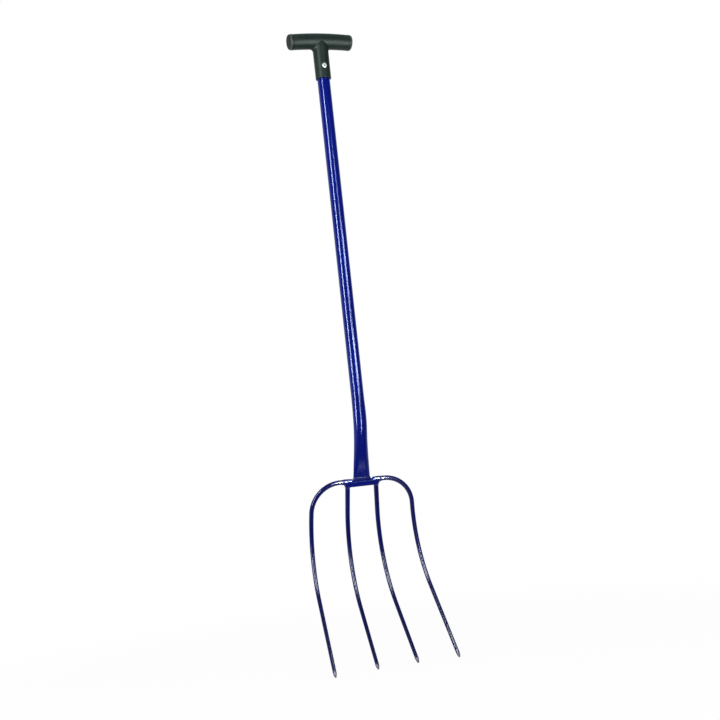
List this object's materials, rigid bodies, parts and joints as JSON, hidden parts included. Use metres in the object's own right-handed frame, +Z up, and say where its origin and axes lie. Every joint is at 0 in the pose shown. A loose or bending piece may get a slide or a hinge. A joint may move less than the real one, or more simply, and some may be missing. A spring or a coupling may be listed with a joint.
{
  "type": "manure_fork",
  "caption": "All-steel manure fork with dished round tines, a cranked blue tubular shaft and a moulded T grip",
  "frame": {"origin": "on the axis of the straight shaft, at the place of a rack clip or of the lower hand, 436 mm below the axis of the T grip", "axes": "+Z up the straight shaft to the T grip, +X along the cross bar and the hand bar, +Y to the back; the tines curve to the front, -Y"},
  "size_m": [0.2564, 0.1243, 1.2543],
  "materials": {
    "blue_paint": "gloss enamel",
    "weld_paint": "gloss enamel over rippled weld",
    "grip_plastic": "satin, finely grained",
    "cap_plastic": "satin",
    "rivet_alloy": "bright",
    "stem_steel": "broken end"
  },
  "bodies": {
    "root": {"grip": "grip_plastic", "grip_end_cap_left": "cap_plastic", "grip_end_cap_right": "cap_plastic", "rivet_body": "rivet_alloy", "rivet_stem": "stem_steel", "shaft_tube": "blue_paint", "cross_bar": "blue_paint", "tine_outer_left": "blue_paint", "tine_inner_left": "blue_paint", "tine_inner_right": "blue_paint", "tine_outer_right": "blue_paint", "foot_weld": "weld_paint", "weld_outer_left": "weld_paint", "weld_inner_left": "weld_paint", "weld_inner_right": "weld_paint", "weld_outer_right": "weld_paint"}
  },
  "joints": []
}
